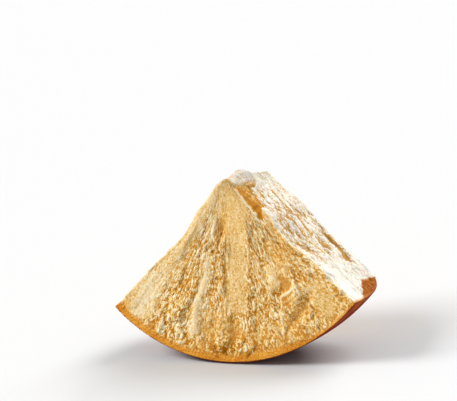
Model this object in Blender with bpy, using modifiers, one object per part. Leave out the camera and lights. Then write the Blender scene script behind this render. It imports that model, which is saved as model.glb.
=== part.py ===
"""An eighth of a wheel of aged hard cheese, broken out by hand and standing on its curved rind.

The piece is a quarter of the wheel, split at half of the wheel's height. Three broken faces, the
front and the two sides, meet at the apex, which is the wheel's axis. The barrel rind is the foot
and the flat rind is the back. It is one solid: crags, flutes and flake scars are its relief.

Metres, +Z up. +X is to the right of a viewer who faces the broken front, and +Y runs from the
front to the flat rind. The origin is the middle of the small flat that the barrel rind rests on.
"""

import math

import bmesh
import bpy
from mathutils import Matrix, Vector, noise

# The wheel that the piece was broken out of
WHEEL_RADIUS = 0.225
WHEEL_HEIGHT = 0.220
RIND_TAPER = 0.10
RIND_ROUNDING = 0.028
ROUNDING_POWER = 3

# The piece: its half of the height, and its sides' angles from straight down
DEPTH = WHEEL_HEIGHT / 2
LEFT_ANGLE = math.radians(-43.0)
RIGHT_ANGLE = math.radians(49.6)

# The apex edge: its front corner is chipped off, and behind that it stands up in a hump
APEX_BLUNTING = 0.0010
CHIP_DROP = 0.0036
CHIP_DEPTHS = (0.022, 0.010)
HUMP_DEPTH = 0.040
HUMP_SPREAD = 0.019
HUMP_HEIGHT = 0.0049
HUMP_SWELL = 0.0060
HUMP_REACH = 0.020
APEX_REST = 0.2
APEX_WAVES = 70

# How it stands: leant back a little, on a small flat worn into the barrel rind
LEAN = math.radians(12.0)
APEX_HEIGHT = 0.22225
REST_CENTRE_DEPTH = 0.0524

# The rind shows as a smooth band round the broken faces, narrower on the right of the first angle
RIND_SKIN = 0.002
RIND_BAND = 0.013
RIND_BAND_RIGHT = 0.006
BAND_ANGLES = (0.65, 0.40)
BAND_STRAY = 0.0035
BAND_WAVES = 90

# Mesh density: a fine skin to carve, then a lighter one to keep
OUTLINE_STEPS = 40
OUTLINE_BIAS = 1.3
TURN_STEPS = 128
VOXEL = 0.0023
TRIANGLES = 11600
FLAT_SNAP = 0.0003

NAME = "cheese_wedge"

# Broken facets all over, as (size across, height, tilt): broad slabs with smaller flakes on them
SLABS = (0.021, 0.0013, 0.0020)
FLAKES = (0.0095, 0.0010, 0.0018)
CHIP_CELLS = 700
SWAY_SPAN = 0.040
SWAY = 0.0030
SWAY_START = Vector((3.1, 0.0, 7.7))
WANDER = 0.0030
WANDER_WAVES = 110
NOISE_SEED = 2
WEAR = 0.35

# Near the apex they are calmer: between two radii, with these shares of sway and chips at the apex
APEX_CALM = (0.030, 0.095)
APEX_SWAY = 0.25
APEX_CHIPS = 0.05

# The facets are drawn out along the lines that fan from the apex: share kept along, and metres a radian
FAN_ALONG = 0.30
FAN_ACROSS = 0.13

# How far in from an edge the face beyond it still moves with it
BLEND_REACH = 0.020

# Flutes on the broken front that the blade pressed smooth:
# angle and half-width in degrees, inner and outer radius, rise
FLUTE_END = 0.011
FLUTE_CALM = 0.70
FLUTE_WANDER = 2.2
FLUTE_WAVES = (28, 2, 4)
FLUTES = (
    (-14.2, 2.0, 0.104, 0.200, 0.0020),
    (-15.0, 1.8, 0.052, 0.080, 0.0010),
    (-36.0, 6.0, 0.022, 0.150, 0.0004),
    (-36.5, 5.0, 0.150, 0.218, 0.0012),
    (-0.6, 0.9, 0.045, 0.172, -0.0010),
    (27.4, 3.6, 0.122, 0.146, 0.0026),
    (42.5, 4.2, 0.165, 0.220, 0.0012),
    (45.6, 2.6, 0.078, 0.104, -0.0004),
)

# The upright band down the middle of the front that it pressed smooth too: across, and down from the apex
PRESSED_ACROSS = (0.0015, 0.0265)
PRESSED_DOWN = (0.016, 0.166)
PRESSED_RIM = 0.004
PRESSED_STRAY = 0.004
PRESSED_WAVES = (40, 60, 8)

# Hollows torn out of the front, longer than wide: angle in degrees, radius, size, depth; one is a knob
HOLLOW_STRETCH = 0.6
HOLLOWS = (
    (-8.8, 0.064, 0.0085, 0.0060),
    (-14.5, 0.066, 0.0060, -0.0036),
    (-24.0, 0.135, 0.0130, 0.0030),
    (-7.0, 0.190, 0.0120, 0.0018),
    (3.7, 0.184, 0.0110, 0.0034),
    (27.4, 0.164, 0.0120, 0.0040),
    (38.0, 0.110, 0.0120, 0.0025),
)

# Swells and dips along each broken side: radius, spread, rise at the front, rise at the back
SWELL_DEPTHS = (0.025, 0.085)
LEFT_SWELLS = (
    (0.020, 0.012, 0.0026, 0.0),
    (0.094, 0.024, -0.0062, 0.0),
    (0.132, 0.008, -0.0015, 0.0),
    (0.110, 0.095, -0.0013, -0.0010),
)
RIGHT_SWELLS = (
    (0.070, 0.012, 0.0030, 0.0),
    (0.112, 0.020, -0.0048, 0.0),
    (0.165, 0.022, 0.0012, 0.0),
    (0.062, 0.024, 0.0, 0.0030),
)

# The broken sides: angle, sense, roughness at the front and further back, swells
CALM_DEPTHS = (0.012, 0.040)
SIDES = ((LEFT_ANGLE, -1, 0.35, 0.85, LEFT_SWELLS), (RIGHT_ANGLE, 1, 0.8, 0.8, RIGHT_SWELLS))

# The flake that came off the right edge under the apex, and left a bevel with a step along the front:
# its depth at the edge falls off along the radius, and a share of what lay over it stays
SCAR_START = (0.014, 0.022)
SCAR_END = 0.066
SCAR_SLOPE = 0.115
SCAR_STEP = 0.0030
SCAR_DEPTH = 0.034
SCAR_FALL = 0.42
SCAR_RIM = 0.0015
SCAR_REST = 0.2
SCAR_STRAY = (0.35, 0.0035)
SCAR_WAVES = 130
SCAR_EDGES = (-0.14, 0.06)

# The flake with a curved edge, low on the front's right: it lies between two angles in degrees
FLAKE_RADIUS = 0.158
FLAKE_CURL = 0.045
FLAKE_RISE = 0.0042
FLAKE_RIM = 0.0025
FLAKE_SPAN = (20.0, 42.0)
FLAKE_ENDS = (2.0, 12.0)
FLAKE_TURN = 7.0
FLAKE_END = 0.212

# The trough below it: where it starts as angle and radius, metres outward a degree, half-width and depth
TROUGH_START = (40.0, 0.177)
TROUGH_SLANT = 0.00135
TROUGH_REACH = 0.0060
TROUGH_DEPTH = 0.0040
TROUGH_ANGLES = (25.5, 40.0)
TROUGH_FADE = 3.0

# Pits that run along the sides, as far as they are torn
PIT_ALONG = 0.33
PIT_SIZE = 0.0095
PIT_CALM = (0.006, 0.018)
PIT_DEPTH = 0.0024
PIT_EDGES = (0.0, 0.45)
PIT_SPAN = (0.045, 0.150)
PIT_FADE = 0.025


def smooth_step(low, high, value):
    """0 below low, 1 above high, and an S-curve between them; low may be the larger one."""
    share = min(1.0, max(0.0, (value - low) / (high - low)))
    return share * share * (3 - 2 * share)


def bell(value, centre, spread):
    """A smooth bump, 1 at the centre."""
    return math.exp(-(((value - centre) / spread) ** 2))


def barrel_radius(depth):
    """The wheel's radius at a distance from its middle plane, where it is widest."""
    rounding = math.sqrt(1 - (depth / DEPTH) ** ROUNDING_POWER)
    return WHEEL_RADIUS - RIND_TAPER * depth - RIND_ROUNDING * (1 - rounding)


def polar(point):
    """Distance from the wheel's axis, and angle from straight down towards the right."""
    return math.hypot(point.x, point.z), math.atan2(point.x, -point.z)


def under_rind(point):
    """How far a point lies under the nearer rind surface."""
    radius, _ = polar(point)
    return min(barrel_radius(min(max(point.y, 0.0), DEPTH)) - radius, DEPTH - point.y)


def rind_profile():
    """Half of the wheel's outline, from the middle plane round the shoulder to the axis, as (radius, y)."""
    points = []
    for step in range(OUTLINE_STEPS + 1):
        turn = math.pi / 2 * (step / OUTLINE_STEPS) ** OUTLINE_BIAS
        depth = DEPTH * min(1.0, math.sin(turn)) ** (2 / ROUNDING_POWER)
        points.append((barrel_radius(depth), depth))
    return [(0.0, 0.0), *points, (0.0, DEPTH)]


def link(mesh, name):
    """An object for a mesh, in the scene."""
    made = bpy.data.objects.new(name, mesh)
    bpy.context.scene.collection.objects.link(made)
    return made


def evaluated_mesh(source):
    """A new mesh with the object's modifiers in it."""
    graph = bpy.context.evaluated_depsgraph_get()
    return bpy.data.meshes.new_from_object(source.evaluated_get(graph))


def half_wheel():
    """The half-height wheel as a turned solid, its axis along Y."""
    mesh = bpy.data.meshes.new("half_wheel")
    profile = rind_profile()
    edges = [(i, i + 1) for i in range(len(profile) - 1)]
    mesh.from_pydata([(radius, y, 0.0) for radius, y in profile], edges, [])
    wheel = link(mesh, "half_wheel")
    screw = wheel.modifiers.new("Turn", "SCREW")
    screw.axis = "Y"
    screw.angle = math.tau
    screw.steps = screw.render_steps = TURN_STEPS
    screw.use_merge_vertices = True
    screw.merge_threshold = 0.0001
    return wheel


def quarter_cutter():
    """The prism between the two broken sides, longer and wider than the wheel."""
    reach, spare = WHEEL_RADIUS * 2, 0.05
    cutter = bmesh.new()
    corners = [
        cutter.verts.new((size * math.sin(angle), -spare, -size * math.cos(angle)))
        for size, angle in ((0.0, 0.0), (reach, LEFT_ANGLE), (reach, RIGHT_ANGLE))
    ]
    face = cutter.faces.new(corners)
    grown = bmesh.ops.extrude_face_region(cutter, geom=[face])["geom"]
    bmesh.ops.translate(
        cutter,
        verts=[item for item in grown if isinstance(item, bmesh.types.BMVert)],
        vec=(0.0, DEPTH + 2 * spare, 0.0),
    )
    bmesh.ops.recalc_face_normals(cutter, faces=cutter.faces)
    mesh = bpy.data.meshes.new("quarter_cutter")
    cutter.to_mesh(mesh)
    cutter.free()
    return link(mesh, "quarter_cutter")


def quarter_block():
    """The plain piece before it is roughened, as an even fine mesh."""
    wheel, cutter = half_wheel(), quarter_cutter()
    cut = wheel.modifiers.new("Cut", "BOOLEAN")
    cut.operation = "INTERSECT"
    cut.object = cutter
    remesh = wheel.modifiers.new("Even skin", "REMESH")
    remesh.mode = "VOXEL"
    remesh.voxel_size = VOXEL
    mesh = evaluated_mesh(wheel)
    for helper in (wheel, cutter):
        bpy.data.objects.remove(helper)
    return mesh


def facets(place, size, height, tilt):
    """Flat chips, each set at its own height and slope, that meet in sharp steps."""
    scaled = place / size
    chip = noise.voronoi(scaled)[1][0]
    turn = 2 * noise.cell_vector(chip * CHIP_CELLS) - Vector((1, 1, 1))
    return tilt * turn.dot(scaled - chip) + height * turn.x


def band(value, low, high, rim):
    """1 between low and high, and 0 outside, with soft rims."""
    return smooth_step(low - rim, low + rim, value) * smooth_step(high + rim, high - rim, value)


def flute_cover(radius, angle):
    """How much a point of the front lies on a smooth flute, and how far the flutes lift it."""
    across, down = radius * math.sin(angle), radius * math.cos(angle)
    across += PRESSED_STRAY * noise.noise(Vector((across, down, 1.0)) * Vector(PRESSED_WAVES))
    cover = band(across, *PRESSED_ACROSS, PRESSED_RIM) * band(down, *PRESSED_DOWN, PRESSED_RIM)
    lift = 0.0
    wander = noise.noise(Vector((radius, angle, 1.0)) * Vector(FLUTE_WAVES))
    turn = math.degrees(angle) + FLUTE_WANDER * wander
    for degrees, half_width, inner, outer, rise in FLUTES:
        on_flute = bell(turn, degrees, half_width) * band(radius, inner, outer, FLUTE_END)
        cover = max(cover, on_flute)
        lift += rise * on_flute
    return cover, lift


def trough_cover(radius, turn):
    """How much a point of the front lies in the trough, its angle in degrees."""
    middle = TROUGH_START[1] + TROUGH_SLANT * (TROUGH_START[0] - turn)
    return bell(radius, middle, TROUGH_REACH) * band(turn, *TROUGH_ANGLES, TROUGH_FADE)


def hollow_depth(radius, angle):
    """How far the torn hollows and the trough take a point of the front down."""
    depth = 0.0
    for degrees, place, size, drop in HOLLOWS:
        across = radius * math.sin(angle) - place * math.sin(math.radians(degrees))
        along = radius * math.cos(angle) - place * math.cos(math.radians(degrees))
        depth += drop * bell(math.hypot(across, along * HOLLOW_STRETCH), 0.0, size)
    return depth + TROUGH_DEPTH * trough_cover(radius, math.degrees(angle))


def scarred(place):
    """A broken place, brought back into the scar of the flake that came off the right edge."""
    radius, angle = polar(place)
    stray = noise.noise_vector(Vector((place.x, 0.0, place.z)) * SCAR_WAVES)
    inward = 1 - radius * math.sin(RIGHT_ANGLE - angle) / (SCAR_SLOPE * radius + SCAR_RIM)
    inward += stray.x * SCAR_STRAY[0]
    radius += stray.z * SCAR_STRAY[1]
    bevel = max(0.0, SCAR_DEPTH - SCAR_FALL * radius - SCAR_STEP) * max(0.0, inward)
    over = max(0.0, SCAR_STEP + bevel - place.y)
    ends = smooth_step(*SCAR_START, radius) * smooth_step(SCAR_END + SCAR_RIM, SCAR_END - SCAR_RIM, radius)
    cover = smooth_step(*SCAR_EDGES, inward) * ends
    return place + Vector((0.0, (1 - SCAR_REST) * cover * over, 0.0))


def flake_edge(turn):
    """The radius of the flake's upper edge at an angle in degrees; it curls down at its left end."""
    return FLAKE_RADIUS + FLAKE_CURL * smooth_step(FLAKE_SPAN[0] + FLAKE_TURN, FLAKE_SPAN[0], turn)


def flake_rise(radius, angle):
    """How far the flake low on the right stands out; it fades below."""
    turn = math.degrees(angle)
    low, high = FLAKE_SPAN
    slant = (flake_edge(turn + 0.5) - flake_edge(turn - 0.5)) / math.radians(max(radius, FLAKE_RIM))
    inside = (radius - flake_edge(turn)) / math.hypot(1.0, slant)
    fade = smooth_step(FLAKE_END, FLAKE_RADIUS, radius)
    fade *= smooth_step(low - FLAKE_ENDS[0], low + FLAKE_ENDS[0], turn)
    fade *= smooth_step(high, high - FLAKE_ENDS[1], turn)
    return FLAKE_RISE * smooth_step(-FLAKE_RIM, FLAKE_RIM, inside) * fade


def crags(radius, across, depth, roughness):
    """Slabs and flakes common to all the broken faces, drawn out along the lines from the apex."""
    place = Vector((radius * FAN_ALONG, across * FAN_ACROSS, depth))
    calm = smooth_step(*APEX_CALM, radius)
    sway = noise.fractal(place / SWAY_SPAN + SWAY_START, 1.0, 2.0, 2) * SWAY
    strayed = place + noise.noise_vector(place * WANDER_WAVES) * WANDER
    chips = facets(strayed, *SLABS) + facets(strayed, *FLAKES) * roughness
    sway *= APEX_SWAY + (1 - APEX_SWAY) * calm
    return sway + chips * roughness * (APEX_CHIPS + (1 - APEX_CHIPS) * calm)


def torn_pits(radius, depth, turn):
    """How deep the pits are that run along a broken side, away from its edges."""
    place = Vector((radius * PIT_ALONG, depth, 0.0)) / PIT_SIZE + Vector((0.0, 0.0, turn - 1))
    inside = smooth_step(*PIT_CALM, depth) * band(radius, *PIT_SPAN, PIT_FADE)
    return PIT_DEPTH * smooth_step(*PIT_EDGES, noise.fractal(place, 1.0, 2.0, 2)) * inside


def front_height(radius, angle):
    """How far the broken front stands out at a place on it."""
    cover, lift = flute_cover(radius, angle)
    height = crags(radius, angle, 0.0, 1.0 - FLUTE_CALM * cover)
    return height + lift + flake_rise(radius, angle) - hollow_depth(radius, angle)


def side_swell(radius, depth, swells):
    """How far a broken side bulges at a place on it, the rind with it."""
    back = smooth_step(*SWELL_DEPTHS, depth)
    swell = HUMP_SWELL * bell(radius, 0.0, HUMP_REACH) * bell(depth, HUMP_DEPTH, HUMP_SPREAD)
    for place, spread, rise, back_rise in swells:
        swell += (rise + (back_rise - rise) * back) * bell(radius, place, spread)
    return swell


def shift(point):
    """How the breaking moves a point of the plain block; the three broken faces blend at their edges."""
    radius, angle = polar(point)
    band_width = RIND_BAND_RIGHT + (RIND_BAND - RIND_BAND_RIGHT) * smooth_step(*BAND_ANGLES, angle)
    cover = under_rind(point) + BAND_STRAY * noise.noise(point * BAND_WAVES)
    broken = smooth_step(RIND_SKIN, band_width, cover)
    moved = Vector()
    near = smooth_step(BLEND_REACH, 0.0, point.y) * broken
    if near > 0.0:
        moved.y -= front_height(radius, angle) * near
    for side, turn, front_roughness, back_roughness, swells in SIDES:
        near = smooth_step(BLEND_REACH, 0.0, radius * math.sin(abs(side - angle)))
        if near > 0.0:
            outward = Vector((math.cos(side), 0.0, math.sin(side))) * turn
            calm = smooth_step(*CALM_DEPTHS[::-1], point.y)
            roughness = back_roughness + (front_roughness - back_roughness) * calm
            relief = crags(radius, side, point.y, roughness) - torn_pits(radius, point.y, turn)
            moved += outward * (side_swell(radius, point.y, swells) + relief * broken) * near
    return moved


def carve(mesh):
    """Breaks the plain block's front and sides up."""
    for vertex in mesh.vertices:
        vertex.co = scarred(vertex.co + shift(vertex.co))


def apex_top(point):
    """How high the worn apex edge may stand at a point, over the wheel's axis."""
    hump = HUMP_HEIGHT * bell(point.y, HUMP_DEPTH, HUMP_SPREAD)
    chip = CHIP_DROP * smooth_step(*CHIP_DEPTHS, point.y)
    return hump - chip + APEX_BLUNTING * (noise.noise(point * APEX_WAVES) - 1)


def wear(mesh):
    """Takes the sharpness off: the steps between chips a little, and the apex edge by more."""
    worn = bmesh.new()
    worn.from_mesh(mesh)
    bmesh.ops.smooth_vert(
        worn, verts=worn.verts, factor=WEAR, use_axis_x=True, use_axis_y=True, use_axis_z=True
    )
    worn.to_mesh(mesh)
    worn.free()
    for vertex in mesh.vertices:
        top = apex_top(vertex.co)
        if vertex.co.z > top:
            vertex.co.z = top + (vertex.co.z - top) * APEX_REST


def stand(mesh):
    """Leans the piece back and sets it down, with the worn flat on the plane Z = 0."""
    forward = REST_CENTRE_DEPTH / math.cos(LEAN) - APEX_HEIGHT * math.tan(LEAN)
    lean = Matrix.Rotation(-LEAN, 4, "X")
    mesh.transform(Matrix.Translation((0.0, -forward, APEX_HEIGHT)) @ lean)
    flatten(mesh, 0.0)


def flatten(mesh, snap):
    """Brings every point that is under, or within snap of, the ground onto it."""
    for vertex in mesh.vertices:
        if vertex.co.z < snap:
            vertex.co.z = 0.0


def lightened(mesh):
    """The same shape with as few triangles as it needs."""
    dense = link(mesh, "dense")
    faces = sum(len(polygon.vertices) - 2 for polygon in mesh.polygons)
    decimate = dense.modifiers.new("Lighten", "DECIMATE")
    decimate.ratio = TRIANGLES / faces
    light = evaluated_mesh(dense)
    bpy.data.objects.remove(dense)
    flatten(light, FLAT_SNAP)
    return light


def paste_material():
    """Broken cheese paste: pale straw gold and matt."""
    made = bpy.data.materials.new("cheese_paste")
    made.use_nodes = True
    shader = made.node_tree.nodes["Principled BSDF"]
    shader.inputs["Base Color"].default_value = (0.74, 0.49, 0.19, 1.0)
    shader.inputs["Roughness"].default_value = 0.7
    shader.inputs["Metallic"].default_value = 0.0
    return made


def main():
    noise.seed_set(NOISE_SEED)
    for old in list(bpy.data.objects):
        bpy.data.objects.remove(old)
    mesh = quarter_block()
    carve(mesh)
    wear(mesh)
    stand(mesh)
    light = lightened(mesh)
    light.materials.clear()
    light.materials.append(paste_material())
    collection = bpy.data.collections.new(NAME)
    bpy.context.scene.collection.children.link(collection)
    collection.objects.link(bpy.data.objects.new(NAME, light))


main()
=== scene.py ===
"""A wedge of aged hard cheese, broken by hand out of a wheel, standing on its curved rind.

The solid's broad shapes are made again here at a finer grain, with the crumb and the ripples that
the solid is too coarse for, and then come the materials, the floor, the camera and the light.
Lengths are in metres and angles in radians, where a comment doesn't say degrees.
"""

import math

import bmesh
import bpy
from mathutils import Matrix, Vector, noise


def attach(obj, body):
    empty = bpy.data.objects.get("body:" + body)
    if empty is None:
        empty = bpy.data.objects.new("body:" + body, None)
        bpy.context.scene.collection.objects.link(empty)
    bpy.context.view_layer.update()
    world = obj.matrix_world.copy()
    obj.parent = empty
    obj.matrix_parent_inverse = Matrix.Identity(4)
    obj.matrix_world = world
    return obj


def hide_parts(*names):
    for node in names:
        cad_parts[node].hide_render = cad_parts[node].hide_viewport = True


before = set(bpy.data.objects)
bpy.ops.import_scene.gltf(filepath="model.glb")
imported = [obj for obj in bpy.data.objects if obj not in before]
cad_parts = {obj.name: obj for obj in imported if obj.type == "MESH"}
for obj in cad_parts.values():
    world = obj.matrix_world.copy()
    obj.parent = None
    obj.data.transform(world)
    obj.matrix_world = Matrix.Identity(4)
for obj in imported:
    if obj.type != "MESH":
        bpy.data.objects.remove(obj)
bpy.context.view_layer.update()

# The wheel that the wedge was broken out of, and the wedge's share of it
WHEEL_RADIUS = 0.225
DEPTH = 0.110
RIND_TAPER = 0.10
RIND_ROUNDING = 0.028
ROUNDING_POWER = 3
LEFT_ANGLE = math.radians(-43.0)
RIGHT_ANGLE = math.radians(49.6)

# The apex edge: its front corner is chipped off, and behind that it stands up in a hump
APEX_BLUNTING = 0.0010
CHIP_DROP = 0.0036
CHIP_DEPTHS = (0.022, 0.010)
HUMP_DEPTH = 0.040
HUMP_SPREAD = 0.019
HUMP_HEIGHT = 0.0049
HUMP_SWELL = 0.0060
HUMP_REACH = 0.020
APEX_REST = 0.2
APEX_WAVES = 70

# How it stands
LEAN = math.radians(12.0)
APEX_HEIGHT = 0.22225
REST_CENTRE_DEPTH = 0.0524
FORWARD = REST_CENTRE_DEPTH / math.cos(LEAN) - APEX_HEIGHT * math.tan(LEAN)
STANDING = Matrix.Translation((0.0, -FORWARD, APEX_HEIGHT)) @ Matrix.Rotation(-LEAN, 4, "X")

# The rind shows as a smooth band round the broken faces, narrower on the right of the first angle
RIND_SKIN = 0.002
RIND_BAND = 0.013
RIND_BAND_RIGHT = 0.006
BAND_ANGLES = (0.65, 0.40)
BAND_STRAY = 0.0035
BAND_WAVES = 90

# Mesh density
OUTLINE_STEPS = 40
OUTLINE_BIAS = 1.3
TURN_STEPS = 128
VOXEL = 0.00105
TRIANGLES = 192000
WELD_REACH = 0.00001

# Broken facets all over, as (size across, height, tilt): broad slabs with smaller flakes on them
SLABS = (0.021, 0.0013, 0.0020)
FLAKES = (0.0095, 0.0010, 0.0018)
CHIP_CELLS = 700
SWAY_SPAN = 0.040
SWAY = 0.0030
SWAY_START = Vector((3.1, 0.0, 7.7))
WANDER = 0.0030
WANDER_WAVES = 110

# Noise: its seed, how many finer swings the turbulence has, and the fractal's fall, gap and swings
NOISE_SEED = 2
OCTAVES = 2
FRACTAL = (1.0, 2.0, OCTAVES)

# Near the apex they are calmer: between two radii, with these shares of sway and chips at the apex
APEX_CALM = (0.030, 0.095)
APEX_SWAY = 0.25
APEX_CHIPS = 0.05

# The facets are drawn out along the lines that fan from the apex: the share kept along them, and
# the metres a radian across them. How they shift a broken face dies out this far under it
FAN_ALONG = 0.30
FAN_ACROSS = 0.13
BLEND_REACH = 0.020

# The crumb on top of them, in lumps with creases between and finer grains: the share kept along
# the fan, sizes and heights, the grains that smooth places keep, and how far all stray
CRUMB_ALONG = 0.36
LUMP_SIZE = 0.0060
LUMP_HEIGHT = 0.0026
GRAIN_SIZE = 0.0030
GRAIN_HEIGHT = 0.0024
GRAIN_START = Vector((5.0, 1.0, 3.0))
GRAIN_REST = 0.3
CRUMB_MEAN = 0.32
CRUMB_STRAY = 0.0030
CRUMB_WAVES = 130

# The crumb comes in patches, with a share of it left between them, and there is less of it on
# flat spots, at the apex and at the edges
PATCH_SPAN = 0.030
PATCH_START = Vector((9.0, 4.0, 1.0))
PATCH_EDGES = (-0.80, 0.10)
PATCH_REST = 0.2
FLAT_CALM = 0.85
APEX_LACK = 0.3
APEX_LACK_RADII = (0.040, 0.075)
EDGE_CRUMB = 0.3
EDGE_REACH = 0.009

# What counts as higher or deeper for the colour only, as painted shade and highlights: darker in
# hollows, pits and creases, lighter on the knob, crumb tops and broken edges; flutes add their
# paleness
DEEP_TINT = 0.18
RIM_HIGHLIGHT = 0.0014
RIM_REACH = 0.0040
FLUTE_TINT = 0.0008
PIT_TINT = 0.6
SIDE_TINT = 0.75

# Pits that run along the sides, as far as they are torn
PIT_ALONG = 0.33
PIT_SIZE = 0.0095
PIT_CALM = (0.006, 0.018)
PIT_DEPTH = 0.0024
PIT_EDGES = (0.0, 0.45)
PIT_SPAN = (0.045, 0.150)
PIT_FADE = 0.025

# The split along the right side's back edge: where it lies at two radii, as (radius, y), its
# half-width and depth, and how its middle and its width stray
SPLIT_PLACES = ((0.110, 0.0965), (0.163, 0.0885))
SPLIT_REACH = 0.0050
SPLIT_RIM = 0.0014
SPLIT_SPAN = (0.108, 0.164)
SPLIT_FADE = 0.006
SPLIT_DEPTH = 0.0040
SPLIT_STRAY = (0.0032, 0.7)
SPLIT_WAVES = (75, 110, 2.0)

# What the mesh keeps at each point for the finish: the crumb's height in mm with the painted shade
# and highlights added to it, its roughness, and how much the point is on the right side, painted
# lighter
MM = 1000
KEPT = ("crumb", "grit", "right_side")
RIGHT_SIDE_DEPTHS = (0.0, 0.0016)
RIGHT_SIDE_REACH = 0.006

# Flutes on the broken front that the blade pressed smooth, and smooth spots beside them:
# angle and half-width in degrees, inner and outer radius, rise, paleness
FLUTE_END = 0.011
FLUTE_CALM = 0.70
FLUTE_WANDER = 2.2
FLUTE_WAVES = (28, 2, 4)
# Paleness above zero is the flutes' own paler tone; below zero it is golden painted shade in
# grooves and shaded spots
FLUTES = (
    (-14.2, 2.0, 0.104, 0.200, 0.0020, 1.0),
    (-15.0, 1.8, 0.052, 0.080, 0.0010, 1.8),
    (-36.0, 6.0, 0.022, 0.150, 0.0004, 0.3),
    (-36.5, 5.0, 0.150, 0.218, 0.0012, 1.2),
    (-0.6, 0.9, 0.045, 0.172, -0.0010, -0.5),
    (27.4, 3.6, 0.122, 0.146, 0.0026, 0.8),
    (42.5, 4.2, 0.165, 0.220, 0.0012, 0.0),
    (45.6, 2.6, 0.078, 0.104, -0.0004, -0.4),
    (1.2, 4.6, 0.177, 0.195, 0.0, -0.7),
    (32.5, 3.0, 0.140, 0.158, 0.0, -1.6),
    (47.6, 2.8, 0.068, 0.100, 0.0, 0.2),
)

# The upright band down the middle of the front that the blade pressed smooth too: from where to
# where across, and down from the apex
PRESSED_ACROSS = (0.0015, 0.0265)
PRESSED_DOWN = (0.016, 0.166)
PRESSED_RIM = 0.004
PRESSED_STRAY = 0.004
PRESSED_WAVES = (40, 60, 8)

# Hollows torn out of the front, longer than wide: angle in degrees, radius, size and depth. The
# one with a depth below zero is a knob
HOLLOW_STRETCH = 0.6
HOLLOWS = (
    (-8.8, 0.064, 0.0085, 0.0060),
    (-14.5, 0.066, 0.0060, -0.0036),
    (-24.0, 0.135, 0.0130, 0.0030),
    (-7.0, 0.190, 0.0120, 0.0018),
    (3.7, 0.184, 0.0110, 0.0034),
    (27.4, 0.164, 0.0120, 0.0040),
    (38.0, 0.110, 0.0120, 0.0025),
)

# Swells and dips along each broken side: radius, spread, rise at the front, rise at the back
SWELL_DEPTHS = (0.025, 0.085)
LEFT_SWELLS = (
    (0.020, 0.012, 0.0026, 0.0),
    (0.094, 0.024, -0.0062, 0.0),
    (0.132, 0.008, -0.0015, 0.0),
    (0.110, 0.095, -0.0013, -0.0010),
)
RIGHT_SWELLS = (
    (0.070, 0.012, 0.0030, 0.0),
    (0.112, 0.020, -0.0048, 0.0),
    (0.165, 0.022, 0.0012, 0.0),
    (0.062, 0.024, 0.0, 0.0030),
)

# The broken sides: angle, sense, roughness at the front and further back, swells
CALM_DEPTHS = (0.012, 0.040)
SIDES = ((LEFT_ANGLE, -1, 0.35, 0.85, LEFT_SWELLS), (RIGHT_ANGLE, 1, 0.8, 0.8, RIGHT_SWELLS))

# The flake that came off the right edge under the apex, and left a bevel with a step along the
# front: its depth at the edge falls off along the radius, and a share of what lay over it stays.
# Its lower end slants; a highlight is painted along its lip on the front, and shade on the scar
SCAR_START = (0.014, 0.022)
SCAR_END = 0.066
SCAR_SLOPE = 0.115
SCAR_STEP = 0.0030
SCAR_DEPTH = 0.034
SCAR_FALL = 0.42
SCAR_RIM = 0.0015
SCAR_REST = 0.2
SCAR_STRAY = (0.35, 0.0035)
SCAR_WAVES = 130
SCAR_EDGES = (-0.14, 0.06)
SCAR_SLANT = 0.012
SCAR_LIP = (-0.28, 0.15)
SCAR_LIP_DEPTHS = (0.004, 0.001)
SCAR_LIP_HIGHLIGHT = 0.0030
SCAR_SHADE = 0.0020
SCAR_REACH = 0.003

# The flake with a curved edge, low on the front's right: it lies between two angles in degrees,
# and ripples run along its edge. Its rim gets a painted highlight, its ripples painted light and
# shade
FLAKE_RADIUS = 0.158
FLAKE_CURL = 0.045
FLAKE_RISE = 0.0042
FLAKE_RIM = 0.0025
FLAKE_SPAN = (20.0, 42.0)
FLAKE_ENDS = (2.0, 12.0)
FLAKE_TURN = 7.0
FLAKE_SLOPE_STEP = 0.5
FLAKE_END = 0.212
FLAKE_HIGHLIGHT = 0.0016
FLAKE_CALM = 0.65
RIPPLE = 0.0006
RIPPLE_SPAN = 0.0062
RIPPLE_STRAY = 0.0045
RIPPLE_WAVES = (70, 5, 2)

# The trough below it: where it starts as (angle in degrees, radius), how many metres it runs
# outward a degree, its half-width and its depth
TROUGH_START = (40.0, 0.177)
TROUGH_SLANT = 0.00135
TROUGH_REACH = 0.0060
TROUGH_DEPTH = 0.0040
TROUGH_ANGLES = (25.5, 40.0)
TROUGH_FADE = 3.0
TROUGH_CALM = 0.8

# The camera: its turn and height about the wheel's axis, its distance, and the pixel where a mark
# on the front's middle line shows
VIEW_TURN = math.radians(27.22)
VIEW_HEIGHT = math.radians(4.0)
VIEW_DISTANCE = 4.0
PIXELS_PER_METRE = 834.1
PICTURE_WIDTH = 457
PICTURE_MIDDLE = (228.5, 200.5)
MARK = STANDING @ Vector((0.0, 0.0, -0.110))
MARK_PIXEL = (226.15, 267.05)
SENSOR_WIDTH = 36.0
SEEN_REACH = 200.0

# The floor's size, and its two greys
FLOOR_REACH = 40.0
FLOOR_TOOTH = (400.0, 2.0, 0.5)
FLOOR_GREYS = ((0.60, 0.60, 0.60, 1.0), (0.64, 0.64, 0.64, 1.0))

# The suns: name, where each shines from, strength, and spread in degrees. The surroundings: their
# strength as a light, and what the camera sees on top of it
SUNS = (
    ("back_light", (0.36, 0.60, 0.72), 2.4, 40.0),
    ("glare_light", (-0.10, 0.95, 0.34), 0.6, 12.0),
    ("front_light", (-0.62, -0.42, 0.62), 2.72, 28.0),
)
SURROUNDINGS = 0.42
SEEN_SURROUNDINGS = 0.64
WHITE = (1.0, 1.0, 1.0, 1.0)

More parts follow.
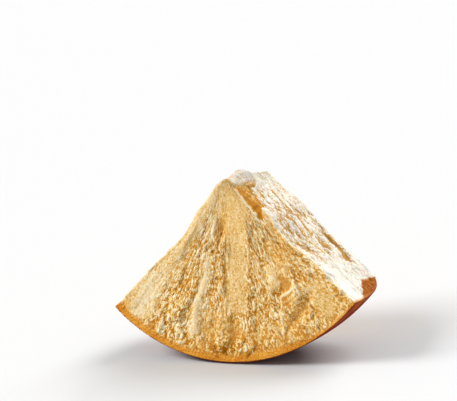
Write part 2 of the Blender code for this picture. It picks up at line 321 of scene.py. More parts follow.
# Patterns of the finish: swings a metre, how many finer ones lie on them, and how strong those are
SPECKLE = (540.0, 2.0, 0.65)
BROAD = (28.0, 3.0, 0.55)
LUMPY = (1 / GRAIN_SIZE, 2.0, 0.6)
STREAKY = (135.0, 3.0, 0.6)
EDGE_WAVES = (60.0, 3.0, 0.6)
CHIPPING = (150.0, 2.0, 0.6)
BLOTCHES = (22.0, 4.0, 0.6)
RIND_STREAKS = (1.0, 4.0, 0.6)
RIND_STREAK_SCALES = (120.0, 70.0, 70.0)

# Colours as seen on a screen, 0 to 255. In a list, each has the level where it is pure
PASTE_TONES = (
    (0.00, (198, 126, 16)),
    (0.25, (224, 173, 62)),
    (0.50, (238, 205, 140)),
    (0.75, (246, 224, 176)),
    (1.00, (253, 239, 206)),
)
EDGE_TONES = ((0.0, (162, 80, 14)), (0.5, (219, 148, 44)), (1.0, (238, 184, 84)))
BARREL_TONES = ((0.30, (86, 12, 4)), (0.50, (124, 32, 8)), (0.72, (162, 74, 20)))
FLAT_TONES = ((0.36, (186, 110, 26)), (0.50, (210, 140, 42)), (0.64, (226, 162, 68)))
SMOOTH_TONE = (198, 166, 118)
SIDE_TONE = (208, 169, 92)
# The painted highlight, near white, on the right side's high levels
HIGHLIGHT_TONE = (248, 246, 238)
SHOULDER_TONE = (238, 200, 130)

# The paste's level in its list of colours, and what raises or lowers it. A pair is where a share
# is 0 and where it is 1; two pairs are where it comes up and where it goes again
PASTE_LEVEL = 0.50
# The kept height darkens creases and lightens crumb tops: painted shade and highlights
CRUMB_RISE = 0.37
SPECKLE_RISE = 2.1
SPECKLE_CALM = 0.8
BROAD_RISE = 0.25
# Painted light: the right side's level is raised, more so further from the apex
LIT_SIDE_RISE = 0.16
LIT_SIDE_LOW_RISE = 0.20
LIT_SIDE_LOW_RADII = (0.125, 0.165)
DRY_RISE = 0.07
DRY_ANGLES = ((-0.70, -0.56), (-0.14, -0.28))
GOLDEN_DROP = 0.14
GOLDEN_DEPTHS = (0.045, 0.010)
FOOT_DROP = 0.11
FOOT_ANGLES = ((-0.25, -0.02), (0.50, 0.30))
# Golden streaks on the torn right side: painted shade standing in for its pits
TORN_DROP = 0.75
TORN_RADII = ((0.016, 0.040), (0.180, 0.130))
TORN_DEPTHS = ((0.002, 0.014), (0.088, 0.062))
TORN_STREAKS = (0.48, 0.43)
# Painted shade in the creases between lumps, lighter on the lump tops
LUMP_EDGES = (0.0, 0.11)
LUMP_MEAN = 0.62
LUMP_RISE = 0.85
LUMP_DROP = 0.06
LUMP_REST = 0.3
SMOOTH_SHARE = 0.28
# The side tone's share on the right side, then the painted highlight's share and the levels where
# it comes in
SIDE_SHARE = 0.6
HIGHLIGHT_SHARE = 0.88
HIGHLIGHT_LEVELS = (0.26, 0.46)

# The amber edge under the barrel rind: its width, and what it gains left of the band's angles.
# The torn corner between the two rinds is bounded by a slanting line and a radius. Then come the
# edge's level in its list of colours, and what changes it
EDGE_STRAY = 0.008
EDGE_WIDTH = 0.0030
EDGE_MORE_LEFT = 0.0060
EDGE_RIM = (0.0025, -0.0025)
CORNER_STRAY = 0.014
CORNER_SLANT = 1.45
CORNER_LINE = (0.3455, 0.3505)
CORNER_RADII = (0.191, 0.195)
EDGE_LEVEL = 0.5
EDGE_SPECKLE = 2.2
EDGE_BROAD = 0.9
CORNER_CALM = 1.7
CORNER_DROP = 0.45

# The rinds: how thick their skin is, the worn flat below, where one gives way to the other, and
# what makes up the flat one's level
SKIN_DEPTHS = (0.0013, 0.0006)
SKIN_STRAY = 0.0006
WORN_HEIGHTS = (0.0006, 0.0002)
RIND_CHANGE = (-0.010, 0.004)
SHOULDER_REACH = (0.0022, 0.0008)
SHOULDER_STRAY = 0.3
SHOULDER_SHARE = 0.6
FLAT_PARTS = (0.4, 0.35, 0.25)

# Relief finer than the mesh, as (height, strength), with pin pricks in staggered rows
FINE_GRAIN = 0.8
FINE_LUMPS = 0.8
FINE_RELIEF = (0.0010, 0.8)
SKIN_CALM = 0.6
PRICK_SPAN = 0.0066
PRICK_ROWS = 0.0057
PRICK_SIZE = (0.26, 0.14)
PRICK_RELIEF = (0.0008, 0.6)
BARREL_SIDE = (-0.004, 0.004)

# How dull the surface is: of the paste, what the skin adds, and what the broad pattern adds
DULLNESS = (0.62, 0.18, 0.15)


# Shapes


def smooth_step(low, high, value):
    """0 below low, 1 above high, and an S-curve between them; low may be the larger one."""
    share = min(1.0, max(0.0, (value - low) / (high - low)))
    return share * share * (3 - 2 * share)


def bell(value, centre, spread):
    """A smooth bump, 1 at the centre."""
    return math.exp(-(((value - centre) / spread) ** 2))


def band(value, low, high, rim):
    """1 between low and high, and 0 outside, with soft rims."""
    return smooth_step(low - rim, low + rim, value) * smooth_step(high + rim, high - rim, value)


def barrel_radius(depth):
    """The wheel's radius at a distance from its middle plane, where it is widest."""
    rounding = math.sqrt(1 - (depth / DEPTH) ** ROUNDING_POWER)
    return WHEEL_RADIUS - RIND_TAPER * depth - RIND_ROUNDING * (1 - rounding)


def polar(point):
    """Distance from the wheel's axis, and angle from straight down towards the right."""
    return math.hypot(point.x, point.z), math.atan2(point.x, -point.z)


def under_rind(point):
    """How far a point lies under the nearer rind surface."""
    radius, _ = polar(point)
    return min(barrel_radius(min(max(point.y, 0.0), DEPTH)) - radius, DEPTH - point.y)


def facets(place, size, height, tilt):
    """Flat chips, each set at its own height and slope, that meet in sharp steps."""
    scaled = place / size
    chip = noise.voronoi(scaled)[1][0]
    turn = 2 * noise.cell_vector(chip * CHIP_CELLS) - Vector((1, 1, 1))
    return tilt * turn.dot(scaled - chip) + height * turn.x


def flute_cover(radius, angle):
    """How much a point of the front lies on a smooth flute, its lift, and how pale it is."""
    across, down = radius * math.sin(angle), radius * math.cos(angle)
    across += PRESSED_STRAY * noise.noise(Vector((across, down, 1.0)) * Vector(PRESSED_WAVES))
    cover = band(across, *PRESSED_ACROSS, PRESSED_RIM) * band(down, *PRESSED_DOWN, PRESSED_RIM)
    lift, paleness = 0.0, 0.0
    wander = noise.noise(Vector((radius, angle, 1.0)) * Vector(FLUTE_WAVES))
    turn = math.degrees(angle) + FLUTE_WANDER * wander
    for degrees, half_width, inner, outer, rise, pale in FLUTES:
        on_flute = bell(turn, degrees, half_width) * band(radius, inner, outer, FLUTE_END)
        cover = max(cover, on_flute)
        lift += rise * on_flute
        paleness += pale * on_flute
    return cover, lift, paleness


def trough_cover(radius, turn):
    """How much a point of the front lies in the trough, its angle in degrees."""
    middle = TROUGH_START[1] + TROUGH_SLANT * (TROUGH_START[0] - turn)
    return bell(radius, middle, TROUGH_REACH) * band(turn, *TROUGH_ANGLES, TROUGH_FADE)


def hollow_depth(radius, angle):
    """How far the torn hollows and the trough take a point of the front down."""
    depth = 0.0
    for degrees, place, size, drop in HOLLOWS:
        across = radius * math.sin(angle) - place * math.sin(math.radians(degrees))
        along = radius * math.cos(angle) - place * math.cos(math.radians(degrees))
        depth += drop * bell(math.hypot(across, along * HOLLOW_STRETCH), 0.0, size)
    return depth + TROUGH_DEPTH * trough_cover(radius, math.degrees(angle))


def scar_cover(place):
    """How much a place lies on the scar on the right edge, how far it stands over the scar's
    ground, and how much it lies on the lip along it, where a highlight is painted."""
    radius, angle = polar(place)
    stray = noise.noise_vector(Vector((place.x, 0.0, place.z)) * SCAR_WAVES)
    inward = 1 - radius * math.sin(RIGHT_ANGLE - angle) / (SCAR_SLOPE * radius + SCAR_RIM)
    inward += stray.x * SCAR_STRAY[0]
    radius += stray.z * SCAR_STRAY[1]
    bevel = max(0.0, SCAR_DEPTH - SCAR_FALL * radius - SCAR_STEP) * max(0.0, inward)
    over = SCAR_STEP + bevel - place.y
    end = SCAR_END + SCAR_SLANT * (0.5 - min(1.0, inward))
    ends = smooth_step(*SCAR_START, radius) * smooth_step(end + SCAR_RIM, end - SCAR_RIM, radius)
    rim = bell(inward, *SCAR_LIP) * smooth_step(*SCAR_LIP_DEPTHS, abs(place.y))
    return smooth_step(*SCAR_EDGES, inward) * ends, max(0.0, over), rim * ends


def flake_edge(turn):
    """The radius of the flake's upper edge at an angle in degrees. Its left end curls down."""
    return FLAKE_RADIUS + FLAKE_CURL * smooth_step(FLAKE_SPAN[0] + FLAKE_TURN, FLAKE_SPAN[0], turn)


def flake_rise(radius, angle):
    """How far the flake low on the right stands out, with its ripples, its painted highlight and
    shade, and how smooth.
    """
    turn = math.degrees(angle)
    low, high = FLAKE_SPAN
    fall = flake_edge(turn + FLAKE_SLOPE_STEP) - flake_edge(turn - FLAKE_SLOPE_STEP)
    slant = fall / math.radians(max(radius, FLAKE_RIM))
    inside = (radius - flake_edge(turn)) / math.hypot(1.0, slant)
    fade = smooth_step(FLAKE_END, FLAKE_RADIUS, radius)
    fade *= smooth_step(low - FLAKE_ENDS[0], low + FLAKE_ENDS[0], turn)
    fade *= smooth_step(high, high - FLAKE_ENDS[1], turn)
    cover = smooth_step(-FLAKE_RIM, FLAKE_RIM, inside) * fade
    rim = bell(inside, FLAKE_RIM, FLAKE_RIM) * fade
    inside += RIPPLE_STRAY * noise.noise(Vector((radius, angle, 1.0)) * Vector(RIPPLE_WAVES))
    ripple = RIPPLE * math.cos(math.tau * (inside - FLAKE_RIM) / RIPPLE_SPAN) * cover
    return FLAKE_RISE * cover + ripple, FLAKE_HIGHLIGHT * rim + ripple, max(rim, FLAKE_CALM * cover)


def crags(radius, across, depth, roughness):
    """Slabs and flakes common to all the broken faces, drawn out along the lines from the apex."""
    place = Vector((radius * FAN_ALONG, across * FAN_ACROSS, depth))
    calm = smooth_step(*APEX_CALM, radius)
    sway = noise.fractal(place / SWAY_SPAN + SWAY_START, *FRACTAL) * SWAY
    strayed = place + noise.noise_vector(place * WANDER_WAVES) * WANDER
    chips = facets(strayed, *SLABS) + facets(strayed, *FLAKES) * roughness
    sway *= APEX_SWAY + (1 - APEX_SWAY) * calm
    return sway + chips * roughness * (APEX_CHIPS + (1 - APEX_CHIPS) * calm)


def crumb(radius, across, depth, roughness):
    """The height of the crumb, with its lumps, creases and grains, and how rough it is."""
    place = Vector((radius * CRUMB_ALONG, across * FAN_ACROSS, depth))
    place += noise.noise_vector(place * CRUMB_WAVES) * CRUMB_STRAY
    patchy = smooth_step(*PATCH_EDGES, noise.noise(place / PATCH_SPAN + PATCH_START))
    lumps = noise.turbulence(place / LUMP_SIZE, OCTAVES, True)
    grains = noise.turbulence(place / GRAIN_SIZE + GRAIN_START, OCTAVES, True)
    rough = roughness * (PATCH_REST + (1 - PATCH_REST) * patchy)
    grainy = GRAIN_REST + (1 - GRAIN_REST) * rough
    height = LUMP_HEIGHT * (lumps - CRUMB_MEAN) * rough
    return height + GRAIN_HEIGHT * (grains - CRUMB_MEAN) * grainy, rough


def torn_pits(radius, depth, turn):
    """How deep the pits are that run along a broken side, away from its edges."""
    place = Vector((radius * PIT_ALONG, depth, 0.0)) / PIT_SIZE + Vector((0.0, 0.0, turn - 1))
    inside = smooth_step(*PIT_CALM, depth) * band(radius, *PIT_SPAN, PIT_FADE)
    return PIT_DEPTH * smooth_step(*PIT_EDGES, noise.fractal(place, *FRACTAL)) * inside


def split_cover(radius, depth):
    """How much a place on the right side lies in the split along its back edge."""
    (low, start), (high, end) = SPLIT_PLACES
    middle = start + (end - start) * (radius - low) / (high - low)
    along, back, start_at = SPLIT_WAVES
    stray = noise.noise_vector(Vector((radius * along, depth * back, start_at)))
    middle += SPLIT_STRAY[0] * stray.x
    reach = SPLIT_REACH * (1 + SPLIT_STRAY[1] * stray.z)
    across = band(depth, middle - reach, middle + reach, SPLIT_RIM)
    return across * band(radius, *SPLIT_SPAN, SPLIT_FADE)


def front_height(radius, angle):
    """How far the broken front stands out at a place, its height for painted shade and highlights,
    and how rough.
    """
    cover, lift, paleness = flute_cover(radius, angle)
    roughness = 1.0 - FLUTE_CALM * cover
    away = smooth_step(*APEX_LACK_RADII, radius)
    crumbly = roughness * roughness * (1 - APEX_LACK + APEX_LACK * away)
    fine, rough = crumb(radius, angle, 0.0, crumbly)
    hollow = hollow_depth(radius, angle)
    flake, paler, smooth = flake_rise(radius, angle)
    to_side = radius * math.sin(min(angle - LEFT_ANGLE, RIGHT_ANGLE - angle))
    calm = max(smooth, TROUGH_CALM * trough_cover(radius, math.degrees(angle)))
    inner = EDGE_CRUMB + (1 - EDGE_CRUMB) * smooth_step(0.0, EDGE_REACH, to_side)
    fine *= (1 - FLAT_CALM * calm) * inner
    height = crags(radius, angle, 0.0, roughness) + lift + flake - hollow + fine
    # Painted shade in hollows and creases, painted highlights on crumb tops and the flake's rim
    tint = fine - DEEP_TINT * hollow + paler + FLUTE_TINT * paleness
    return height, tint, rough * (1 - calm)


def side_swell(radius, depth, swells):
    """How far a broken side bulges at a place on it, the rind with it."""
    back = smooth_step(*SWELL_DEPTHS, depth)
    swell = HUMP_SWELL * bell(radius, 0.0, HUMP_REACH) * bell(depth, HUMP_DEPTH, HUMP_SPREAD)
    for place, spread, rise, back_rise in swells:
        swell += (rise + (back_rise - rise) * back) * bell(radius, place, spread)
    return swell


def shift(point):
    """How the breaking moves a point of the block, its height for painted shade and highlights,
    and how rough.
    """
    radius, angle = polar(point)
    band_width = RIND_BAND_RIGHT + (RIND_BAND - RIND_BAND_RIGHT) * smooth_step(*BAND_ANGLES, angle)
    cover = under_rind(point) + BAND_STRAY * noise.noise(point * BAND_WAVES)
    broken = smooth_step(RIND_SKIN, band_width, cover)
    moved, fine, rough = Vector(), 0.0, 0.0
    near = smooth_step(BLEND_REACH, 0.0, point.y) * broken
    if near > 0.0:
        height, more, grit = front_height(radius, angle)
        moved.y -= height * near
        fine += more * near
        rough = grit * near
    for side, turn, front_roughness, back_roughness, swells in SIDES:
        near = smooth_step(BLEND_REACH, 0.0, radius * math.sin(abs(side - angle)))
        if near > 0.0:
            outward = Vector((math.cos(side), 0.0, math.sin(side))) * turn
            calm = smooth_step(*CALM_DEPTHS[::-1], point.y)
            roughness = back_roughness + (front_roughness - back_roughness) * calm
            more, grit = crumb(radius, side, point.y, roughness)
            more *= EDGE_CRUMB + (1 - EDGE_CRUMB) * smooth_step(0.0, EDGE_REACH, point.y)
            split = split_cover(radius, point.y) * (turn > 0)
            more *= 1 - split
            deep = torn_pits(radius, point.y, turn) + SPLIT_DEPTH * split
            relief = (crags(radius, side, point.y, roughness) + more - deep) * broken
            moved += outward * (side_swell(radius, point.y, swells) + relief) * near
            # Painted shade in the sides' pits and creases, lighter on crumb tops
            fine += (SIDE_TINT * more - PIT_TINT * deep) * broken * near
            rough = max(rough, grit * near)
    to_edge = math.hypot(point.y, radius * math.sin(min(angle - LEFT_ANGLE, RIGHT_ANGLE - angle)))
    # A painted highlight along the broken edges
    return moved, fine + RIM_HIGHLIGHT * smooth_step(RIM_REACH, 0.0, to_edge), rough


def on_right_side(point):
    """How much a point of the plain block lies on its right broken side, which the finish paints
    lighter.
    """
    radius, angle = polar(point)
    reach = smooth_step(RIGHT_SIDE_REACH, 0.0, radius * math.sin(RIGHT_ANGLE - angle))
    return smooth_step(*RIGHT_SIDE_DEPTHS, point.y) * reach


def apex_top(point):
    """How high the worn apex edge may stand at a point, over the wheel's axis."""
    hump = HUMP_HEIGHT * bell(point.y, HUMP_DEPTH, HUMP_SPREAD)
    chip = CHIP_DROP * smooth_step(*CHIP_DEPTHS, point.y)
    return hump - chip + APEX_BLUNTING * (noise.noise(point * APEX_WAVES) - 1)


def rind_profile():
    """The outline of half a wheel, round the shoulder to the axis, as (radius, y)."""
    points = []
    for step in range(OUTLINE_STEPS + 1):
        turn = math.pi / 2 * (step / OUTLINE_STEPS) ** OUTLINE_BIAS
        depth = DEPTH * min(1.0, math.sin(turn)) ** (2 / ROUNDING_POWER)
        points.append((barrel_radius(depth), depth))
    return [(0.0, 0.0), *points, (0.0, DEPTH)]


def link(mesh, name):
    """An object for a mesh, in the scene."""
    made = bpy.data.objects.new(name, mesh)
    bpy.context.scene.collection.objects.link(made)
    return made


def with_modifiers(source):
    """A new mesh with the object's modifiers in it; the object goes."""
    graph = bpy.context.evaluated_depsgraph_get()
    mesh = bpy.data.meshes.new_from_object(source.evaluated_get(graph))
    bpy.data.objects.remove(source)
    return mesh


def plain_block():
    """The piece before it is broken: the wheel's outline, turned a quarter about its axis."""
    block = bmesh.new()
    start = Vector((math.sin(LEFT_ANGLE), 0.0, -math.cos(LEFT_ANGLE)))
    places = [start * radius + Vector((0.0, y, 0.0)) for radius, y in rind_profile()]
    block.faces.new([block.verts.new(place) for place in places])
    bmesh.ops.spin(
        block,
        geom=block.verts[:] + block.edges[:] + block.faces[:],
        axis=(0.0, -1.0, 0.0),
        angle=RIGHT_ANGLE - LEFT_ANGLE,
        steps=TURN_STEPS,
        use_merge=False,
    )
    bmesh.ops.remove_doubles(block, verts=block.verts, dist=WELD_REACH)
    bmesh.ops.recalc_face_normals(block, faces=block.faces)
    mesh = bpy.data.meshes.new("plain_block")
    block.to_mesh(mesh)
    block.free()
    return mesh


def fine_skinned(mesh):
    """The same solid with an even fine skin."""
    blank = link(mesh, "blank")
    remesh = blank.modifiers.new("Even skin", "REMESH")
    remesh.mode = "VOXEL"
    remesh.voxel_size = VOXEL
    return with_modifiers(blank)


def carve(mesh):
    """Breaks the plain block up, and keeps what the finish needs at each point as attributes."""
    kept = []
    for vertex in mesh.vertices:
        moved, fine, rough = shift(vertex.co)
        place = vertex.co + moved
        cover, over, rim = scar_cover(place)
        place.y += (1 - SCAR_REST) * cover * over
        scarred = cover * smooth_step(0.0, SCAR_REACH, over)
        # A painted highlight on the scar's lip, and painted shade on the scar
        tint = fine + SCAR_LIP_HIGHLIGHT * rim - SCAR_SHADE * scarred
        kept.append((tint * MM, rough, on_right_side(vertex.co) * (1 - scarred)))
        top = apex_top(place)
        if place.z > top:
            place.z = top + (place.z - top) * APEX_REST
        vertex.co = place
    for name, values in zip(KEPT, zip(*kept)):
        mesh.attributes.new(name, "FLOAT", "POINT").data.foreach_set("value", values)


def stand(mesh):
    """Leans the piece back and sets it down, with the worn flat on the floor."""
    mesh.transform(STANDING)
    for vertex in mesh.vertices:
        vertex.co.z = max(vertex.co.z, 0.0)


def lightened(mesh, triangles):
    """The same shape with fewer triangles, taken where the skin is smooth."""
    dense = link(mesh, "dense")
    faces = sum(len(polygon.vertices) - 2 for polygon in mesh.polygons)
    decimate = dense.modifiers.new("Lighten", "DECIMATE")
    decimate.ratio = min(1.0, triangles / faces)
    return with_modifiers(dense)


def broken_cheese():
    """The whole wedge as one closed mesh."""
    mesh = fine_skinned(plain_block())
    carve(mesh)
    stand(mesh)
    light = lightened(mesh, TRIANGLES)
    light.shade_smooth()
    return link(light, "broken_cheese")


# Finishes


def tone(red, green, blue):
    """A colour as seen on a screen, each part 0 to 255, as the linear values that shaders take."""
    parts = [part / 255 for part in (red, green, blue)]
    return (*[p / 12.92 if p <= 0.04045 else ((p + 0.055) / 1.055) ** 2.4 for p in parts], 1.0)


class Wire:
    """A socket of a material's nodes. Sums on wires and numbers add Math nodes."""

    def __init__(self, socket):
        self.socket = socket

    @staticmethod
    def node(tree, kind, settings, sockets, output=0):
        """Adds a node with settings, and values or wires on its sockets. Returns one output.

        The setting "stops" is a colour ramp's list of (value, colour).
        """
        made = tree.nodes.new(kind)
        for name, value in settings.items():
            if name == "stops":
                ramp = made.color_ramp
                while len(ramp.elements) < len(value):
                    ramp.elements.new(1.0)
                for stop, (place, colour) in zip(ramp.elements, value):
                    stop.position, stop.color = place, colour
            else:
                setattr(made, name, value)
        for name, value in sockets.items():
            if isinstance(value, Wire):
                tree.links.new(value.socket, made.inputs[name])
            else:
                made.inputs[name].default_value = value
        return Wire(made.outputs[output])

    def math(self, operation, *others):
        """A Math node on this wire and the others."""
        sockets = dict(enumerate((self, *others)))
        return Wire.node(self.socket.id_data, "ShaderNodeMath", {"operation": operation}, sockets)

    def __add__(self, other):
        return self.math("ADD", other)

    __radd__ = __add__

    def __mul__(self, other):
        return self.math("MULTIPLY", other)

    __rmul__ = __mul__

    def __sub__(self, other):
        return self.math("SUBTRACT", other)

    def __rsub__(self, other):
        settings = {"operation": "SUBTRACT"}
        return Wire.node(self.socket.id_data, "ShaderNodeMath", settings, {0: other, 1: self})

    def __truediv__(self, other):
        return self.math("DIVIDE", other)

    def __pow__(self, other):
        return self.math("POWER", other)

    def step(self, low, high):
        """0 at low, 1 at high and an S-curve between; low may be the larger one."""
        start, end = sorted((low, high))
        sockets = {0: self, 1: start, 2: end, 3: float(low > high), 4: float(low < high)}
        settings = {"interpolation_type": "SMOOTHSTEP"}
        return Wire.node(self.socket.id_data, "ShaderNodeMapRange", settings, sockets)

    def between(self, rise, fall):
        """1 between two steps, each given as where it is 0 and where it is 1."""
        return self.step(*rise) * self.step(*fall)


class Finish:
    """A material in the making, with the places that its patterns are laid out on."""

    def __init__(self, name):
        self.made = bpy.data.materials.new(name)
        self.made.use_nodes = True
        self.tree = self.made.node_tree
        self.shader = self.tree.nodes["Principled BSDF"]
        here = self.node("ShaderNodeTexCoord", {}, {}, "Object")
        at_apex = {"Location": (0.0, -FORWARD, APEX_HEIGHT), "Rotation": (-LEAN, 0.0, 0.0)}
        settings = {"vector_type": "TEXTURE"}
        self.place = self.node("ShaderNodeMapping", settings, {"Vector": here, **at_apex})
        self.height_above_floor = self.parts(here)[2]

    def node(self, kind, settings, sockets, output=0):
        return Wire.node(self.tree, kind, settings, sockets, output)

    def parts(self, vector):
        """The x, y and z of a vector."""
        first = self.node("ShaderNodeSeparateXYZ", {}, {"Vector": vector})
        return [Wire(output) for output in first.socket.node.outputs]

    def scaled(self, sizes):
        """The place in a space stretched by three numbers."""
        settings = {"operation": "MULTIPLY"}
        return self.node("ShaderNodeVectorMath", settings, {0: self.place, 1: sizes})

    def cloud(self, scale, detail, roughness, place=None):
        """Soft noise, 0 to 1 about a half."""
        sockets = {"Scale": scale, "Detail": detail, "Roughness": roughness}
        return self.node("ShaderNodeTexNoise", {}, {"Vector": place or self.place, **sockets})

    def attribute(self, name):
        """A number kept at each point of the mesh."""
        return self.node("ShaderNodeAttribute", {"attribute_name": name}, {}, "Fac")

    def mixed(self, share, under, over):
        """One colour over another by a share."""
        settings = {"data_type": "RGBA"}
        return self.node("ShaderNodeMix", settings, {0: share, 6: under, 7: over}, 2)

    def ramp(self, value, stops):
        """A colour for each value, from a list of (value, colour as seen on a screen)."""
        stops = [(place, tone(*colour)) for place, colour in stops]
        return self.node("ShaderNodeValToRGB", {"stops": stops}, {0: value})

    def bumped(self, height, distance, strength, under=None):
        """Relief in the light only, on top of another one."""
        sockets = {"Height": height, "Distance": distance, "Strength": strength}
        if under:
            sockets["Normal"] = under
        return self.node("ShaderNodeBump", {}, sockets)

    def feed(self, sockets):
        """Sets the shader's sockets, to wires or values, and returns the material."""
        for name, value in sockets.items():
            socket = self.shader.inputs[name]
            if isinstance(value, Wire):
                self.tree.links.new(value.socket, socket)
            else:
                socket.default_value = value
        return self.made


class CheeseFinish(Finish):
    """The cheese's material. Its parts are told apart by how deep under the rinds a point lies."""

    def __init__(self):
        super().__init__("aged_cheese")
        x, y, z = self.parts(self.place)
        self.depth = y
        self.radius = (x * x + z * z) ** 0.5
        self.angle = x.math("ARCTAN2", 0.0 - z)
        share = y.math("MAXIMUM", 0.0) / DEPTH
        rounding = (1.0 - share**ROUNDING_POWER).math("MAXIMUM", 0.0) ** 0.5
        barrel = WHEEL_RADIUS - RIND_TAPER * y - RIND_ROUNDING * (1.0 - rounding)
        self.to_barrel = barrel - self.radius
        self.to_flat = DEPTH - y
        # The kept height carries painted shade and highlights; the right side is painted lighter
        self.crumb, self.grit, self.lit_side = [self.attribute(name) for name in KEPT]
        lumpy = self.cloud(*LUMPY, self.fanned(CRUMB_ALONG))
        self.lumps = (lumpy - 0.5).math("ABSOLUTE").step(*LUMP_EDGES)
        self.speckle = self.cloud(*SPECKLE)
        self.broad = self.cloud(*BROAD)
        self.edge_noise = (self.cloud(*EDGE_WAVES) - 0.5) * EDGE_STRAY

    def fanned(self, along):
        """The place in the space of the broken faces, drawn out along the lines from the apex."""
        sockets = {0: self.radius * along, 1: self.angle * FAN_ACROSS, 2: self.depth}
        return self.node("ShaderNodeCombineXYZ", {}, sockets)

    def paste(self):
        """Golden towards the rind and, as painted shade, in cracks; beige where smooth; on the
        right side painted lighter, with painted highlights.
        """
        front = 1 - self.lit_side
        torn = self.lit_side * self.radius.between(*TORN_RADII) * self.depth.between(*TORN_DEPTHS)
        streaky = self.cloud(*STREAKY, self.fanned(FAN_ALONG))
        foot = self.angle.between(*FOOT_ANGLES)
        golden = self.to_barrel.step(*GOLDEN_DEPTHS) * (GOLDEN_DROP + foot * FOOT_DROP) * front
        # Painted shade: golden streaks on the torn right side
        golden = golden + torn * streaky.step(*TORN_STREAKS) * TORN_DROP
        dry = self.angle.between(*DRY_ANGLES) * front
        # Painted light on the right side, more so further from the apex
        side = LIT_SIDE_RISE + self.radius.step(*LIT_SIDE_LOW_RADII) * LIT_SIDE_LOW_RISE
        speckled = (self.speckle - 0.5) * (SPECKLE_RISE - self.grit * SPECKLE_CALM)
        level = PASTE_LEVEL + self.lit_side * side + self.crumb * CRUMB_RISE + speckled
        level = level + (self.broad - 0.5) * BROAD_RISE - golden + dry * DRY_RISE
        # Painted shade in the lumps' creases, lighter on their tops
        lumpy = (self.lumps - LUMP_MEAN) * LUMP_RISE - LUMP_DROP
        level = level + (self.grit * (1 - LUMP_REST) + LUMP_REST) * lumpy
        paste = self.ramp(level, PASTE_TONES)
        paste = self.mixed((1 - self.grit) * front * SMOOTH_SHARE, paste, tone(*SMOOTH_TONE))
        paste = self.mixed(self.lit_side * SIDE_SHARE, paste, tone(*SIDE_TONE))
        # A painted highlight, near white, where the right side's level is high
        painted_highlight = self.lit_side * level.step(*HIGHLIGHT_LEVELS) * HIGHLIGHT_SHARE
        return self.mixed(painted_highlight, paste, tone(*HIGHLIGHT_TONE))

    def edged(self, paste):
        """The paste with the harder edge under the barrel rind, broader towards the flat one."""
        chipped = (self.cloud(*CHIPPING) - 0.5) * CORNER_STRAY
        slanted = self.depth + self.radius * CORNER_SLANT + self.edge_noise + chipped
        outward = self.radius + self.edge_noise * 0.5 + chipped * 0.5
        corner = slanted.step(*CORNER_LINE) * outward.step(*CORNER_RADII)
        front = 1 - self.lit_side
        width = EDGE_WIDTH + self.angle.step(*BAND_ANGLES) * front * EDGE_MORE_LEFT
        share = (self.to_barrel + self.edge_noise * front - width).step(*EDGE_RIM)
        speckled = (self.speckle - 0.5) * (EDGE_SPECKLE - corner * CORNER_CALM)
        blotched = (self.broad - 0.5) * EDGE_BROAD
        edge = self.ramp(speckled + blotched + EDGE_LEVEL - corner * CORNER_DROP, EDGE_TONES)
        return self.mixed(share.math("MAXIMUM", corner), paste, edge)

    def rind(self):
        """The blotched red brown barrel rind and the amber flat one, with a pale band along the
        shoulder.
        """
        blotch = self.cloud(*BLOTCHES)
        barrel = self.ramp(blotch, BARREL_TONES)
        streaks = self.cloud(*RIND_STREAKS, self.scaled(RIND_STREAK_SCALES))
        streak_part, blotch_part, speckle_part = FLAT_PARTS
        level = streaks * streak_part + blotch * blotch_part + self.speckle * speckle_part
        flat = self.ramp(level, FLAT_TONES)
        past_shoulder = self.to_barrel - self.to_flat
        rind = self.mixed(past_shoulder.step(*RIND_CHANGE), barrel, flat)
        off = (past_shoulder + self.edge_noise * SHOULDER_STRAY).math("ABSOLUTE")
        return self.mixed(off.step(*SHOULDER_REACH) * SHOULDER_SHARE, rind, tone(*SHOULDER_TONE))

    def skin_share(self):
        """How much a point belongs to the rind's skin, or to the worn flat under it."""
        nearest = self.to_barrel.math("MINIMUM", self.to_flat)
        skin = (nearest + (self.speckle - 0.5) * SKIN_STRAY).step(*SKIN_DEPTHS)
        return skin.math("MAXIMUM", self.height_above_floor.step(*WORN_HEIGHTS))

    def relief(self, skin):
        """Relief finer than the mesh, and rows of pin pricks from the mould on the barrel rind."""
        across = self.angle * WHEEL_RADIUS / PRICK_SPAN
        rows = self.depth / PRICK_ROWS
        column = (across + rows.math("FLOOR") * 0.5).math("FRACT") - 0.5
        line = rows.math("FRACT") - 0.5
        prick = ((column * column + line * line) ** 0.5).step(*PRICK_SIZE)
        fine = self.speckle * FINE_GRAIN + self.lumps * self.grit * FINE_LUMPS
        rough = self.bumped(fine * (1.0 - skin * SKIN_CALM), *FINE_RELIEF)
        on_barrel = skin * (self.to_flat - self.to_barrel).step(*BARREL_SIDE)
        return self.bumped(1.0 - prick * on_barrel, *PRICK_RELIEF, rough)


def cheese_finish():
    """Crumbly paste, its amber edge, and the two rinds."""
    finish = CheeseFinish()
    skin = finish.skin_share()
    paste_dull, skin_dull, broad_dull = DULLNESS
    return finish.feed(
        {
            "Base Color": finish.mixed(skin, finish.edged(finish.paste()), finish.rind()),
            "Roughness": paste_dull + skin * skin_dull + (finish.broad - 0.5) * broad_dull,
            "Normal": finish.relief(skin),
            "Specular IOR Level": 0.08,
            "Subsurface Weight": 0.45,
            "Subsurface Radius": (0.0024, 0.0016, 0.0009),
            "Subsurface Scale": 1.0,
        }
    )


def floor_finish():
    """White paper with a faint tooth."""
    finish = Finish("white_floor")
    colour = finish.mixed(finish.cloud(*FLOOR_TOOTH), *FLOOR_GREYS)
    return finish.feed({"Base Color": colour, "Roughness": 0.9, "Specular IOR Level": 0.1})


# Stage


def floor():
    """A pale floor that runs far back."""
    ground = bmesh.new()
    bmesh.ops.create_grid(ground, x_segments=1, y_segments=1, size=FLOOR_REACH)
    mesh = bpy.data.meshes.new("floor")
    ground.to_mesh(mesh)
    ground.free()
    mesh.materials.append(floor_finish())
    made = link(mesh, "floor")


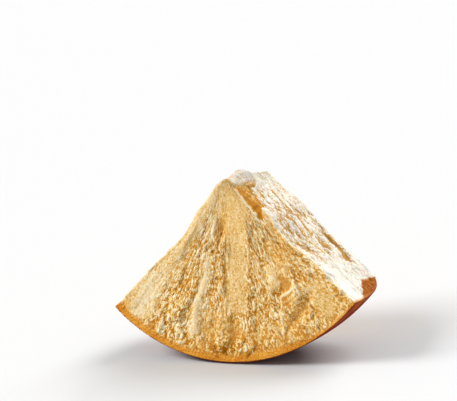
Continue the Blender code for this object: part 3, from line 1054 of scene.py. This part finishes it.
def camera():
    """The camera where the photograph was taken from, held square to the wheel's axis."""
    lens = bpy.data.cameras.new("camera")
    lens.sensor_width = SENSOR_WIDTH
    lens.sensor_fit = "HORIZONTAL"
    lens.lens = SENSOR_WIDTH * PIXELS_PER_METRE * VIEW_DISTANCE / PICTURE_WIDTH
    lens.clip_end = SEEN_REACH
    tipped = Matrix.Rotation(math.pi / 2 - VIEW_HEIGHT, 3, "X")
    turned = Matrix.Rotation(VIEW_TURN, 3, "Z") @ tipped
    right, up, back = (STANDING.to_3x3() @ turned).col
    aim = MARK + right * (PICTURE_MIDDLE[0] - MARK_PIXEL[0]) / PIXELS_PER_METRE
    aim += up * (MARK_PIXEL[1] - PICTURE_MIDDLE[1]) / PIXELS_PER_METRE
    made = bpy.data.objects.new("camera", lens)
    frame_of_view = Matrix((right, up, back)).transposed().to_4x4()
    made.matrix_world = Matrix.Translation(aim + back * VIEW_DISTANCE) @ frame_of_view
    bpy.context.scene.collection.objects.link(made)
    bpy.context.scene.camera = made


def sun(name, direction, strength, spread):
    """A broad soft light from far away, out of a direction."""
    light = bpy.data.lights.new(name, "SUN")
    light.energy = strength
    light.angle = math.radians(spread)
    made = bpy.data.objects.new(name, light)
    made.rotation_euler = Vector(direction).to_track_quat("Z", "Y").to_euler()
    bpy.context.scene.collection.objects.link(made)


def studio():
    """White surroundings, a broad light and a glare from behind, a light from the front's left."""
    world = bpy.data.worlds.new("studio")
    world.use_nodes = True
    tree = world.node_tree
    background = tree.nodes["Background"]
    seen = Wire.node(tree, "ShaderNodeLightPath", {}, {}, "Is Camera Ray")
    strength = SURROUNDINGS + SEEN_SURROUNDINGS * seen
    tree.links.new(strength.socket, background.inputs["Strength"])
    background.inputs["Color"].default_value = WHITE
    bpy.context.scene.world = world
    for row in SUNS:
        sun(*row)
    bpy.context.scene.view_settings.view_transform = "Standard"


def main():
    noise.seed_set(NOISE_SEED)
    cheese = broken_cheese()
    cheese.data.materials.clear()
    cheese.data.materials.append(cheese_finish())
    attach(cheese, "root")
    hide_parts("cheese_wedge")
    floor()
    camera()
    studio()


main()
